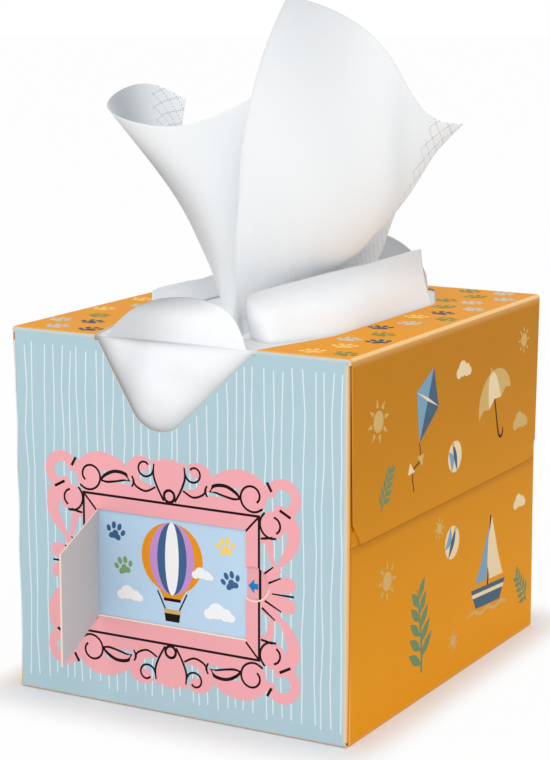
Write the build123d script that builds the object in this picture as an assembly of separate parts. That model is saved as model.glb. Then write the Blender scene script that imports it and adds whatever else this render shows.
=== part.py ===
from build123d import *
import os
from math import cos, radians, sin

# A cube box of facial tissues, in millimetres. X runs to its right end, Y to its back and Z up,
# and the origin is the middle of the base that it stands on.

# Carton: one card blank, folded round the tissues and closed at its two ends
box_width = 122
box_depth = 145
box_height = 120
board = 0.5
crease_radius = 1.2
dust_flap_length = 46
dust_flap_gap = 1.6
upper_flap_length = 58
flap_overlap = 10
end_flap_inset = 1.2
end_flap_taper = 1.5
end_flap_corner_width = 5
end_flap_corner_height = 7

# Dispensing opening in the top, which runs on into a rounded notch in the front
opening_width = 76
opening_front_width = 58
opening_back_width = 46
opening_front_taper = 34
opening_back_taper = 32
opening_back_margin = 6
opening_corner_radius = 8
notch_depth = 28.7
notch_tip_offset = -5.5
notch_tip_radius = 11

# Picture window in the front, its door and the card behind it
window_width = 54.4
window_height = 34.8
window_offset = -1.8
window_drop = 44.7
finger_notch_radius = 5.4
finger_notch_reach = 8
finger_notch_rise = 0.8
door_clearance = 0.2
door_open_angle = 68
card_side_margin = 11
card_end_margin = 8
card_corner_radius = 3
glue_line = 0.1

# Dispensing film, with the lips and tabs that the pulled tissue has pushed up
film = 0.3
film_margin = 9
film_back_gap = 1
film_lip = 3
right_lip_front_inset = 17.5
right_lip_back_inset = 5.5
right_lip_front_rise = 14.5
right_lip_back_rise = 18.5
right_lip_fullness = 0.5
left_lip_inset = 1.5
left_lip_rise = 7.4
lip_bulge = 6.5
lip_roll = 5.5
right_lip_front_gap = 6
left_lip_front_gap = 45.5
lip_end_fullness = 0.15
lip_folds = 10
tab_lean_from = 88
front_tab_width = 49
front_tab_length = 16
front_tab_lean = 30
back_tab_width = 42
back_tab_length = 24
back_tab_lean = 43

# Tissues: the folded stack and the one that stands in the slit
stack_clearance = 2
stack_headroom = 7.5
stack_shoulder_radius = 14
tissue = 0.6
tissue_seat_gap = 0.3
plume_turn = 29.2
slit_level = 1.5
plume_levels = (0, 0.12, 0.28, 0.5, 0.75, 1)
plume_steps = 72

# Places that several pieces share
front_face = -box_depth / 2
back_face = box_depth / 2
end_face = box_width / 2
dust_face = end_face - 2 * board
top_inside = box_height - board
film_underside = top_inside - film
stack_top = film_underside - stack_headroom
lower_flap_length = box_height - upper_flap_length + flap_overlap
window_middle_height = box_height - notch_depth - window_drop
window_left = window_offset - window_width / 2
window_right = window_offset + window_width / 2


def bent_sheet(plane, outer_line, thickness, radius, width):
    """A sheet folded along an outer line in a plane, with its inside on the line's left."""
    line = FilletPolyline(*outer_line, radius=radius)
    section = make_face(offset(line, thickness, side=Side.LEFT).edges())
    return extrude(plane * section, width / 2, both=True)


def end_flap_outline(root_height, length, upwards):
    """The outline of an end flap, seen along X: tapered from its root, with cut corners."""
    sign = 1 if upwards else -1
    root = box_depth / 2 - end_flap_inset
    tip = root - end_flap_taper
    free_height = root_height + sign * length
    shoulder = free_height - sign * end_flap_corner_height
    half = [(root, root_height), (tip, shoulder), (tip - end_flap_corner_width, free_height)]
    mirrored = [(-y, z) for y, z in reversed(half)]
    outline = make_face(Polyline(*half, *mirrored, close=True))
    return extrude(Plane.YZ * outline, box_width, both=True)


def opening_half_width(y):
    """Half the width of the top opening at a place along the box."""
    wide_from = front_face + opening_front_taper
    wide_to = back_face - opening_back_margin - opening_back_taper
    if y < wide_from:
        share = (wide_from - y) / opening_front_taper
        return opening_width / 2 + share * (opening_front_width - opening_width) / 2
    if y > wide_to:
        share = (y - wide_to) / opening_back_taper
        return opening_width / 2 + share * (opening_back_width - opening_width) / 2
    return opening_width / 2


def opening_outline():
    """The top opening's outline, from the front crease to its back end."""
    back_end = back_face - opening_back_margin
    stations = [front_face, front_face + opening_front_taper, back_end - opening_back_taper, back_end]
    half = [(opening_half_width(y), y) for y in stations]
    mirrored = [(-x, y) for x, y in reversed(half)]
    outline = make_face(Polyline(*half, *mirrored, close=True))
    corners = outline.vertices().filter_by(lambda v: v.Y > front_face + board)
    return fillet(corners, opening_corner_radius)


def notch_outline():
    """The front notch's outline: a round tip with straight sides up to the opening's front corners."""
    tip = Pos(notch_tip_offset, box_height - notch_depth + notch_tip_radius) * Circle(notch_tip_radius)
    half = opening_front_width / 2
    mouth = Line((-half, box_height), (half, box_height))
    return make_hull(tip.edges() + [mouth])


def make_carton():
    """The folded and glued blank, with its opening, notch, window and finger notch."""
    section = RectangleRounded(box_depth, box_height, crease_radius)
    section -= RectangleRounded(box_depth - 2 * board, box_height - 2 * board, crease_radius - board)
    carton = extrude(Plane.YZ * Pos(0, box_height / 2) * section, dust_face, both=True)

    # The front and back walls end in a bend to their dust flaps
    flap_height = box_height - 2 * dust_flap_gap
    for sign in (1, -1):
        for side in (1, -1):
            bend = Box(2 * crease_radius, 2 * board, flap_height)
            carton -= Pos(side * dust_face, sign * front_face, box_height / 2) * bend
        outer_line = [
            (-sign * dust_face, sign * (front_face + dust_flap_length)),
            (-sign * dust_face, sign * front_face),
            (sign * dust_face, sign * front_face),
            (sign * dust_face, sign * (front_face + dust_flap_length)),
        ]
        middle = Plane.XY.offset(box_height / 2)
        carton += bent_sheet(middle, outer_line, board, crease_radius, flap_height)

    # The lower end flaps close over the dust flaps, and the upper ones are glued over them
    lower_face = end_face - board
    upright = Plane.XZ
    left_side = [(-lower_face, lower_flap_length), (-lower_face, 0)]
    lower_line = left_side + [(-x, z) for x, z in reversed(left_side)]
    lower = bent_sheet(upright, lower_line, board, crease_radius, box_depth)
    carton += lower & end_flap_outline(0, lower_flap_length, True)
    free_height = box_height - upper_flap_length
    right_side = [(end_face, free_height), (end_face, box_height)]
    upper_line = right_side + [(-x, z) for x, z in reversed(right_side)]
    upper = bent_sheet(upright, upper_line, board, crease_radius, box_depth)
    carton += upper & end_flap_outline(box_height, upper_flap_length, False)

    # Cut-outs
    carton -= Pos(0, 0, top_inside - crease_radius) * extrude(opening_outline(), 2 * crease_radius)
    front = Plane.XZ.offset(-front_face)
    carton -= extrude(front * notch_outline(), crease_radius, both=True)
    window = Pos(window_offset, window_middle_height) * Rectangle(window_width, window_height)
    finger_x = window_right + finger_notch_reach - finger_notch_radius
    finger_z = window_middle_height + finger_notch_rise
    window += Pos(finger_x, finger_z) * Circle(finger_notch_radius)
    carton -= extrude(front * window, crease_radius, both=True)
    return carton.clean()


def make_door_flap():
    """The picture door, cut from the front wall and swung open about its left edge."""
    width = window_width - 2 * door_clearance
    height = window_height - 2 * door_clearance
    panel = Box(width, board, height, align=(Align.CENTER, Align.MIN, Align.CENTER))
    closed = Pos(window_offset, front_face, window_middle_height) * panel
    hinge = Axis((window_left, front_face, 0), (0, 0, -1))
    return closed.rotate(hinge, door_open_angle)


def make_picture_card():
    """The card glued behind the front wall, which closes the window from inside."""
    width = window_width + 2 * card_side_margin
    height = window_height + 2 * card_end_margin
    outline = Pos(window_offset, window_middle_height) * RectangleRounded(width, height, card_corner_radius)
    behind_wall = Plane.XZ.offset(-(front_face + board + glue_line))
    return extrude(behind_wall * outline, -board)


def lip_section(base_y, edge_x, rise, fullness):
    """A lip of the slit, cut across: it stands up at the opening's edge, bulges out and rolls in."""
    base = Vector(opening_half_width(base_y) - film_lip / 2, film_underside - film)
    edge = Vector(edge_x, box_height + rise)
    bulge = base + (edge - base) / 3 + Vector(lip_bulge + (base.X - edge_x) / 3, rise / 2) * fullness
    roll = base + (edge - base) * 2 / 3 + Vector(2 * lip_bulge, lip_roll + rise / 3) * fullness
    outer = Bezier(base, bulge, roll, edge)
    inner_base = [base - Vector(film, 0), bulge - Vector(film, film / 2)]
    inner_edge = [roll - Vector(film / 2, film), edge - Vector(0, film)]
    inner = Bezier(*inner_base, *inner_edge)
    shares = [fold / lip_folds for fold in range(lip_folds + 1)]
    corners = [outer @ share for share in shares] + [inner @ share for share in reversed(shares)]
    return Plane.XZ.offset(-base_y) * make_face(Polyline(*corners, close=True))


def make_lips():
    """The two lips of the slit: the right one is rolled and runs on to the front, the left one is low."""
    right_front = front_face + right_lip_front_gap
    left_front = front_face + left_lip_front_gap
    wide_from = front_face + opening_front_taper
    wide_to = back_face - opening_back_margin - opening_back_taper
    right = []
    places = ((right_front, lip_end_fullness), (wide_from, right_lip_fullness), (wide_to, lip_end_fullness))
    for y, fullness in places:
        share = (y - right_front) / (wide_to - right_front)
        inset = right_lip_front_inset + share * (right_lip_back_inset - right_lip_front_inset)
        rise = right_lip_front_rise + share * (right_lip_back_rise - right_lip_front_rise)
        right.append(lip_section(y, opening_width / 2 - inset, rise, fullness))
    left_edge = opening_width / 2 - left_lip_inset
    left = [lip_section(y, left_edge, left_lip_rise, lip_end_fullness) for y in (left_front, wide_to)]
    return loft(right, ruled=True), mirror(loft(left, ruled=True), Plane.YZ)


def make_tab(width, length, lean):
    """A round tab at an end of the slit, bent up from its straight root at Y 0 and leaning to +Y."""
    turn = tab_lean_from - lean
    radius = length / radians(turn)
    rise = radius * (cos(radians(lean)) - cos(radians(tab_lean_from)))
    start = radians(tab_lean_from)
    root = film_underside - film
    arc = JernArc((0, root), (cos(start), sin(start)), radius, -turn)
    strip = extrude(Plane.YZ * make_face(offset(arc, film, side=Side.RIGHT).edges()), width / 2, both=True)
    outline = Pos(0, root) * Ellipse(width / 2, rise)
    return strip & extrude(Plane.XZ * outline, box_depth, both=True)


def make_dispensing_film():
    """The film behind the opening and the notch, slit along its middle, with lips and tabs raised."""
    inner_front = front_face + board
    inner_back = back_face - board - film_back_gap
    low_edge = box_height - notch_depth - film_margin
    outer_line = [(inner_back, top_inside), (inner_front, top_inside), (inner_front, low_edge)]
    width = opening_width + 2 * film_margin
    sheet = bent_sheet(Plane.YZ, outer_line, film, crease_radius - board, width)
    hole = offset(opening_outline(), -film_lip, kind=Kind.INTERSECTION)
    sheet -= Pos(0, 0, film_underside - film) * extrude(hole, 3 * film)
    for lip in make_lips():
        sheet += lip
    front_tab = make_tab(front_tab_width, front_tab_length, front_tab_lean)
    back_tab = make_tab(back_tab_width, back_tab_length, back_tab_lean)
    sheet += Pos(0, front_face + film_lip / 2, 0) * front_tab
    back_root = back_face - opening_back_margin - film_lip / 2
    sheet += Pos(0, back_root, 0) * mirror(back_tab, Plane.XZ)
    return sheet


def make_tissue_stack():
    """The folded tissues, a block with rounded shoulders where the sheets fold over."""
    width = 2 * (dust_face - board - stack_clearance)
    depth = box_depth - 2 * (board + glue_line + board + stack_clearance)
    height = stack_top - board
    end = Pos(0, board) * Rectangle(width, height, align=(Align.CENTER, Align.MIN))
    end = fillet(end.vertices().sort_by(Axis.Y)[-2:], stack_shoulder_radius)
    return extrude(Plane.XZ * end, depth / 2, both=True)


# The pulled tissue, from its left edge round to its right edge. Each station gives its place in the
# slit, at its waist and at its top, as (across, away, above the box), seen from the front right corner.
plume_stations = [
    ((-9, 4, slit_level), (-22, 12, 32), (-33, 16, 70.5)),
    ((-10, -2, slit_level), (-29, 13, 33), (-48, 20, 75.5)),
    ((-12, -8, slit_level), (-33.5, 3, 32), (-59.5, 7, 68.5)),
    ((-13.5, -13, slit_level), (-29, -8, 31), (-49, -7, 62.5)),
    ((-14.5, -17, slit_level), (-24, -10, 31), (-35.5, -7, 61.3)),
    ((-15, -20, slit_level), (-17.5, -8, 31), (-23, 0, 64.8)),
    ((-14, -22, slit_level), (-9, -4, 31), (-9, 8, 71.5)),
    ((-14, -25, slit_level), (-6, -9, 32), (3, 6, 86)),
    ((-17.5, -30, slit_level), (-16.2, -25, 30), (-1.7, -5, 101)),
    ((-14, -27, slit_level), (-2, -27, 30), (17, -17, 94.7)),
    ((-10, -21, slit_level), (10, -25, 30), (30, -20, 82.4)),
    ((-5, -12, slit_level), (23, -19, 30), (43.3, -15, 64.6)),
    ((5, 7, slit_level), (33, -3, 31), (51, -8, 61.5)),
    ((19, 34, slit_level), (36, 14, 33), (57.5, -1, 61.3)),
]


def plume_place(across, away, above):
    """A point of the plume in the box's own frame."""
    turn = radians(plume_turn)
    x = across * cos(turn) - away * sin(turn)
    y = across * sin(turn) + away * cos(turn)
    return Vector(x, y, box_height + above)


def plume_rise(station):
    """One station of the plume: straight up from the stack, then curved through its waist to its top."""
    slit, waist, top = (plume_place(*place) for place in station)
    foot = Vector(slit.X, slit.Y, stack_top + tissue_seat_gap)
    curve = Spline(slit, waist, top)
    return [foot] + [curve @ level for level in plume_levels]


def back_point(rows, row, step):
    """The point of the sheet's back behind one point of its front."""
    last_row, last_step = len(rows) - 1, len(rows[0]) - 1
    along = rows[row][min(step + 1, last_step)] - rows[row][max(step - 1, 0)]
    upwards = rows[min(row + 1, last_row)][step] - rows[max(row - 1, 0)][step]
    return rows[row][step] + along.cross(upwards).normalized() * tissue


def facets_between(low, high):
    """The flat three-cornered facets between two rows of points."""
    facets = []
    for a, b, c, d in zip(low, low[1:], high[1:], high):
        facets += [Face(Polyline(a, b, c, close=True)), Face(Polyline(a, c, d, close=True))]
    return facets


def make_pulled_tissue():
    """The tissue pulled up through the slit, gathered there and spread into a curl and a tall sail."""
    front = []
    for level in zip(*[plume_rise(station) for station in plume_stations]):
        curve = Spline(*level)
        front.append([curve @ (step / plume_steps) for step in range(plume_steps + 1)])
    steps = range(plume_steps + 1)
    back = [[back_point(front, row, step) for step in steps] for row in range(len(front))]

    # Both sides of the sheet, its foot and top edges, and its two side edges
    facets = []
    for side in (front, back):
        for low, high in zip(side, side[1:]):
            facets += facets_between(low, high)
    for row in (0, -1):
        facets += facets_between(front[row], back[row])
    for step in (0, -1):
        facets += facets_between([row[step] for row in front], [row[step] for row in back])
    return Solid(Shell(facets))


pieces = {
    "carton": make_carton(),
    "door_flap": make_door_flap(),
    "picture_card": make_picture_card(),
    "dispensing_film": make_dispensing_film(),
    "tissue_stack": make_tissue_stack(),
    "pulled_tissue": make_pulled_tissue(),
}

os.makedirs("parts", exist_ok=True)
for name, piece in pieces.items():
    export_step(piece, f"parts/{name}.step")
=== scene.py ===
import bpy
import math
import random
import numpy as np
from mathutils import Matrix, Vector
from mathutils.geometry import delaunay_2d_cdt


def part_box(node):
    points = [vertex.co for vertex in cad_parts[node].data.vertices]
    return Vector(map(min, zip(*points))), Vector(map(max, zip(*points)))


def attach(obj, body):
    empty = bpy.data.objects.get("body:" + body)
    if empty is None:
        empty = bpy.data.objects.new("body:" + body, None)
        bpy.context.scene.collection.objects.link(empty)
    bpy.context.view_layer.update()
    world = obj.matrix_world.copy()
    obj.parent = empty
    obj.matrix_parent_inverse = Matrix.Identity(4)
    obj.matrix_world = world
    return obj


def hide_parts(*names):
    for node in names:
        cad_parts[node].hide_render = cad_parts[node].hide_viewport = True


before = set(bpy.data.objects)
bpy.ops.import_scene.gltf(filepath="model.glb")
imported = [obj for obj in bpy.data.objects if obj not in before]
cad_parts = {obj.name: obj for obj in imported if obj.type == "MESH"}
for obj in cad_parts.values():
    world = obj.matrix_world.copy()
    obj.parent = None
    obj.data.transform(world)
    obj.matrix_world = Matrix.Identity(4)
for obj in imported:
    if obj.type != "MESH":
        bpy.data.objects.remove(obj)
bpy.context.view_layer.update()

# Printed carton
# One blank of white-lined card, printed pale blue in front and orange elsewhere, folded round the
# tissues and glued at its two ends. Its solid is right as it is and gets the finish of coated card.
mm = 0.001
half_width = 61
half_depth = 72.5
box_height = 120
board = 0.5
bend_radius = 1.2
wall_skin = 71.95
flap_low_edge = 62.1
mostly = 0.6


def shade(red, green, blue):
    """A colour in screen values of 0 to 255, as the shaders want it."""
    values = [value / 255 for value in (red, green, blue)]
    return (*[v / 12.92 if v < 0.04045 else ((v + 0.055) / 1.055) ** 2.4 for v in values], 1)


def wire(material, kind, inputs, **settings):
    """Adds a node, sets it up, feeds its inputs and returns it."""
    node = material.node_tree.nodes.new(kind)
    for name, value in settings.items():
        setattr(node, name, value)
    for key, value in inputs.items():
        if isinstance(value, bpy.types.NodeSocket):
            material.node_tree.links.new(value, node.inputs[key])
        else:
            node.inputs[key].default_value = value
    return node


def plug(material, source, node, name):
    """Feeds one input of a node that is already there."""
    material.node_tree.links.new(source, node.inputs[name])


def calc(material, operation, *values):
    """The result of a sum on sockets and numbers."""
    return wire(material, "ShaderNodeMath", dict(enumerate(values)), operation=operation).outputs[0]


def times(material, one, other):
    """The product of two sockets or numbers."""
    return calc(material, "MULTIPLY", one, other)


def split(material, vector):
    """The three parts of a place or a direction."""
    return wire(material, "ShaderNodeSeparateXYZ", {0: vector}).outputs


def soft_step(material, value, low, high, share_low, share_high):
    """A share that eases from one level to another between two values."""
    inputs = {0: value, 1: low, 2: high, 3: share_low, 4: share_high}
    return wire(material, "ShaderNodeMapRange", inputs, interpolation_type="SMOOTHSTEP").outputs[0]


def noise(material, place, scale, detail):
    """A soft random pattern of 0 to 1."""
    inputs = {"Vector": place, "Scale": scale, "Detail": detail}
    return wire(material, "ShaderNodeTexNoise", inputs).outputs[0]


def paint_over(material, share, under, over):
    """One colour over another, by a share of 0 to 1."""
    return wire(material, "ShaderNodeMixRGB", {0: share, 1: under, 2: over}).outputs[0]


def start_material(name, roughness, specular):
    """A new material with its shader and its object coordinates."""
    material = bpy.data.materials.new(name)
    material.use_nodes = True
    shader = material.node_tree.nodes["Principled BSDF"]
    shader.inputs["Roughness"].default_value = roughness
    shader.inputs["Specular IOR Level"].default_value = specular
    return material, shader, wire(material, "ShaderNodeTexCoord", {})


def finish_as_card(material, shader, place, colour):
    """Gives a printed colour the faint mottle and the fine tooth of coated card."""
    fibre = noise(material, place, 2200, 2)
    tone = calc(material, "MULTIPLY_ADD", noise(material, place, 90, 3), 0.05, 0.975)
    speck = calc(material, "MULTIPLY_ADD", fibre, 0.05, 0.975)
    tint = times(material, tone, speck)
    grey = wire(material, "ShaderNodeCombineColor", {0: tint, 1: tint, 2: tint}).outputs[0]
    mottled = wire(material, "ShaderNodeMixRGB", {0: 1, 1: colour, 2: grey}, blend_type="MULTIPLY")
    tooth = wire(material, "ShaderNodeBump", {"Strength": 0.12, "Distance": 0.02 * mm, "Height": fibre})
    plug(material, mottled.outputs[0], shader, "Base Color")
    plug(material, tooth.outputs[0], shader, "Normal")


def dress(piece, material):
    """Gives a piece one material all over."""
    piece.data.materials.clear()
    piece.data.materials.append(material)


def pick(piece):
    """Makes a piece the only chosen one and the active one."""
    bpy.ops.object.select_all(action="DESELECT")
    bpy.context.view_layer.objects.active = piece
    piece.select_set(True)


def join(pieces, name):
    """Joins pieces into the first of them and names it."""
    pick(pieces[0])
    for piece in pieces[1:]:
        piece.select_set(True)
    bpy.ops.object.join()
    pieces[0].name = name
    return pieces[0]


front_blue = shade(180, 207, 216)
print_orange = shade(236, 155, 12)
# A darker orange, painted shade for the upper part of the ends
end_top_shade_orange = shade(196, 128, 12)
inside_white = shade(208, 206, 205)
cut_cream = shade(240, 222, 200)
# A pale peach, a painted highlight on the creases and in the crevices
crease_highlight_colour = shade(252, 210, 150)
flap_cut_tan = shade(214, 142, 50)
shadow_brown = shade(150, 94, 14)

# Print is on the faces that look out of the box, bare card on those that look in and on the cuts
card, card_shader, card_place = start_material("printed_card", 0.5, 0.06)
x, y, z = split(card, card_place.outputs["Object"])
nx, ny, nz = split(card, card_place.outputs["Normal"])
far_x = calc(card, "ABSOLUTE", x)
far_y = calc(card, "ABSOLUTE", y)
steep_y = calc(card, "ABSOLUTE", ny)
middle_z = calc(card, "SUBTRACT", z, box_height / 2 * mm)
outwards = 0
for place, way, half in ((x, nx, half_width), (y, ny, half_depth), (middle_z, nz, box_height / 2)):
    outwards = calc(card, "MULTIPLY_ADD", calc(card, "DIVIDE", place, half * mm), way, outwards)
in_from_wall = calc(card, "LESS_THAN", far_y, wall_skin * mm)
flap_cut = times(card, in_from_wall, calc(card, "GREATER_THAN", steep_y, mostly))
is_outside = calc(card, "SUBTRACT", calc(card, "GREATER_THAN", outwards, 0.9), flap_cut)
is_outside = calc(card, "MAXIMUM", is_outside, 0)
is_inside = calc(card, "LESS_THAN", outwards, -0.9)
on_front_wall = calc(card, "LESS_THAN", y, -wall_skin * mm)
is_front = times(card, calc(card, "LESS_THAN", ny, -mostly), on_front_wall)
on_end = calc(card, "GREATER_THAN", calc(card, "ABSOLUTE", nx), mostly)

# Painted highlight on the creases, strongest along the top of the ends, and in the shaded crevice by each
# end flap
crease_highlight_share = times(card, calc(card, "SUBTRACT", outwards, 1.02), 4)
crease_highlight_share = wire(card, "ShaderNodeClamp", {0: crease_highlight_share, 1: 0, 2: 0.9}).outputs[0]
along_end = calc(card, "LESS_THAN", steep_y, 0.12)
end_top = times(card, along_end, calc(card, "GREATER_THAN", z, box_height / 2 * mm))
crease_highlight_share = times(card, crease_highlight_share, calc(card, "MULTIPLY_ADD", end_top, 0.75, 0.25))
end_top_highlight = soft_step(card, z, 116.4 * mm, 119.4 * mm, 0, 0.36)
set_in = calc(card, "LESS_THAN", far_x, 60.75 * mm)
at_corner = calc(card, "GREATER_THAN", far_y, 70.6 * mm)
crevice = times(card, times(card, set_in, at_corner), 0.7)
# The painted highlight on the ends' top edge and in the crevice beside each end flap
painted_highlight = times(card, calc(card, "MAXIMUM", end_top_highlight, crevice), on_end)
painted_highlight = calc(card, "MAXIMUM", crease_highlight_share, painted_highlight)

# The ends get painted shade, a darker orange towards the top, and a painted shadow under the flap's lower
# edge
end_shade_share = soft_step(card, z, 0, box_height * mm, 0, 1)
printed = paint_over(card, times(card, end_shade_share, on_end), print_orange, end_top_shade_orange)
# A painted shadow under the upper flap, with a darker painted line along its lower edge
flap_shadow = soft_step(card, z, 58.5 * mm, 62 * mm, 0, 0.3)
flap_shadow = times(card, flap_shadow, calc(card, "LESS_THAN", z, 62.5 * mm))
flap_edge_shadow_line = times(card, calc(card, "COMPARE", z, flap_low_edge * mm, 0.22 * mm), 0.55)
flap_shadow = times(card, calc(card, "MAXIMUM", flap_shadow, flap_edge_shadow_line), on_end)
printed = paint_over(card, flap_shadow, printed, shadow_brown)
printed = paint_over(card, is_front, printed, front_blue)
printed = paint_over(card, painted_highlight, printed, crease_highlight_colour)
bare = paint_over(card, is_inside, cut_cream, inside_white)
bare = paint_over(card, flap_cut, bare, flap_cut_tan)
finish_as_card(card, card_shader, card_place.outputs["Object"], paint_over(card, is_outside, bare, printed))
dress(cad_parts["carton"], card)

# Corner rounds
# Small rounds of the same card at the four top corners, where three creases meet and press it together.
# Each is a ball set into the bends, of which only the outer skin shows.
rounds = []
round_radius = 1.12 * mm
bend_middle = Vector((half_width - bend_radius, half_depth - bend_radius, box_height - bend_radius)) * mm
for sides in ((-1, -1, 1), (-1, 1, 1), (1, -1, 1), (1, 1, 1)):
    middle = bend_middle * Vector(sides)
    bpy.ops.mesh.primitive_uv_sphere_add(segments=24, ring_count=12, radius=round_radius, location=middle)
    bpy.ops.object.transform_apply()
    rounds.append(bpy.context.object)
corner_round = join(rounds, "corner_rounds")
bpy.ops.object.shade_smooth()
dress(corner_round, card)
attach(corner_round, "box")

# Print on the front
# The inks lie on the card as one thin skin on each panel. Here they are wavering stripes and, round the
# window, a scroll picture frame.
window_left = -29
window_right = 25.4
window_low = 29.2
window_high = 64
finger_notch = (28, 47.4)
ink_lift = 0.03
ink_depth = 0.05
inks = {}
ink_colours = {
    "stripe_white": (226, 239, 243),
    "frame_pink": (247, 174, 180),
    "line_black": (34, 18, 22),
    "paw_blue": (66, 104, 146),
    "paw_green": (133, 168, 112),
    "paw_yellow": (255, 214, 112),
    "top_navy": (44, 70, 88),
    "top_green": (124, 140, 60),
    "top_cream": (252, 204, 108),
    "top_grey": (198, 204, 190),
    "motif_tan": (214, 178, 110),
    "motif_cream": (240, 218, 176),
    "motif_sky": (126, 166, 192),
    "motif_slate": (73, 99, 122),
    "motif_green": (114, 142, 102),
    "picture_orange": (240, 152, 32),
    "picture_lilac": (200, 150, 214),
    "picture_white": (250, 250, 250),
    "arrow_blue": (30, 130, 205),
    "cut_edge": (252, 236, 218),
}
for ink, colour in ink_colours.items():
    inks[ink], ink_shader, ink_place = start_material(ink, 0.5, 0.06)
    finish_as_card(inks[ink], ink_shader, ink_place.outputs["Object"], shade(*colour))


def thicken(piece, thickness, offset):
    """Turns the picked sheet into a thin closed solid."""
    skin = piece.modifiers.new("thickness", "SOLIDIFY")
    skin.thickness = thickness * mm
    skin.offset = offset
    bpy.ops.object.modifier_apply(modifier=skin.name)


def print_skin(name, shapes, place, body="box"):
    """Lays shapes of ink on a panel, each over the ones before it, as one thin closed skin."""
    corners = []
    outlines = []
    for _, outline in shapes:
        ahead = outline[1:] + outline[:1]
        area = sum(a[0] * b[1] - a[1] * b[0] for a, b in zip(outline, ahead))
        first = len(corners)
        corners += [Vector(point) for point in (outline if area > 0 else outline[::-1])]
        outlines.append(list(range(first, len(corners))))
    points, _, triangles, _, _, owners = delaunay_2d_cdt(corners, [], outlines, 1, 1e-4)
    inked = [(t, shapes[max(o)][0]) for t, o in zip(triangles, owners) if o and shapes[max(o)][0]]
    mesh = bpy.data.meshes.new(name)
    mesh.from_pydata([Vector(place(*point)) * mm for point in points], [], [t for t, _ in inked])
    used = sorted({ink for _, ink in inked})
    for ink in used:
        mesh.materials.append(inks[ink])
    for face, (_, ink) in zip(mesh.polygons, inked):
        face.material_index = used.index(ink)
    skin = bpy.data.objects.new(name, mesh)
    bpy.context.collection.objects.link(skin)
    pick(skin)
    bpy.ops.object.mode_set(mode="EDIT")
    bpy.ops.mesh.select_all(action="SELECT")
    bpy.ops.mesh.delete_loose()
    bpy.ops.object.mode_set(mode="OBJECT")
    thicken(skin, ink_depth, -1)
    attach(skin, body)


def disc(u, v, across, tall=None, turn=0, corners=22):
    """A round or oval outline."""
    tall = tall or across
    c, s = math.cos(math.radians(turn)), math.sin(math.radians(turn))
    outline = []
    for corner in range(corners):
        angle = 2 * math.pi * corner / corners
        a, b = across * math.cos(angle), tall * math.sin(angle)
        outline.append((u + a * c - b * s, v + a * s + b * c))
    return outline


def oblong(left, low, right, high):
    """An outline with four square corners."""
    return [(left, low), (right, low), (right, high), (left, high)]


def smooth_line(points, steps):
    """Points along a smooth line through the given ones."""
    points = [Vector(point) for point in points]
    line = []
    for a, b, c, d in zip(points[:1] + points, points, points[1:], points[2:] + points[-1:]):
        for step in range(steps):
            t = step / steps
            bend = (2 * a - 5 * b + 4 * c - d) * t * t + (3 * b - a - 3 * c + d) * t ** 3
            line.append((2 * b + (c - a) * t + bend) / 2)
    return line + points[-1:]


def swash(points, steps=5):
    """A brush stroke through places of (across, up, width)."""
    line = smooth_line(points, steps)
    left, right = [], []
    for before, here, after in zip(line[:1] + line, line, line[1:] + line[-1:]):
        along = (after - before).to_2d().normalized()
        side = Vector((-along.y, along.x)) * max(here.z, 0.12) / 2
        left.append(tuple(here.to_2d() + side))
        right.append(tuple(here.to_2d() - side))
    return left + right[::-1]


def curl(u, v, radius_from, radius_to, angle_from, angle_to, width):
    """The places of a spiral stroke round a centre."""
    places = []
    count = max(4, int(abs(angle_to - angle_from) / 30))
    for step in range(count + 1):
        share = step / count
        angle = math.radians(angle_from + share * (angle_to - angle_from))
        radius = radius_from + share * (radius_to - radius_from)
        places.append((u + radius * math.cos(angle), v + radius * math.sin(angle), width))
    return places


def mirrored(shapes, ways):
    """The shapes as they are, flipped across or upside down, by a list of ways."""
    out = []
    for flip_u, flip_v in ways:
        out += [(ink, [(u * flip_u, v * flip_v) for u, v in outline]) for ink, outline in shapes]
    return out


def in_ink(ink, *outlines):
    """Outlines with the ink that fills them."""
    return [(ink, outline) for outline in outlines]


def turned(shapes, size, turn, u, v):
    """The shapes at another size, turned and moved."""
    c, s = size * math.cos(math.radians(turn)), size * math.sin(math.radians(turn))
    return [(ink, [(u + a * c - b * s, v + a * s + b * c) for a, b in outline]) for ink, outline in shapes]


def paw(ink, u, v, size, turn):
    """A paw print: a three-lobed pad and four toes."""
    lobes = [(0, -1.6, 1.7, 1.3, 0), (-1.3, -2.0, 1.3, 1.1, 30), (1.3, -2.0, 1.3, 1.1, -30)]
    lobes += [(0, -0.7, 1.2, 1.1, 0), (-3.1, 0.2, 0.85, 1.25, 25), (-1.2, 1.9, 0.9, 1.4, 8)]
    lobes += [(1.2, 1.9, 0.9, 1.4, -8), (3.1, 0.2, 0.85, 1.25, -25)]
    return turned(in_ink(ink, *[disc(*lobe, corners=14) for lobe in lobes]), size, turn, u, v)


# Stripes, from just under the top edge to just above the base
stripe_count = 36
stripe_pitch = 3.36
stripe_width = 0.42
draw = random.Random(7)
front_shapes = []
for count in range(stripe_count):
    u = -half_width + 2.2 + count * stripe_pitch + draw.uniform(-0.9, 0.9)
    top = box_height - draw.uniform(4, 6)
    low = draw.uniform(4.5, 7)
    places = []
    for step in range(9):
        v = low + (top - low) * step / 8
        places.append((u + draw.uniform(-0.55, 0.55), v, stripe_width))
    front_shapes.append(("stripe_white", swash(places, 1)))

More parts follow.
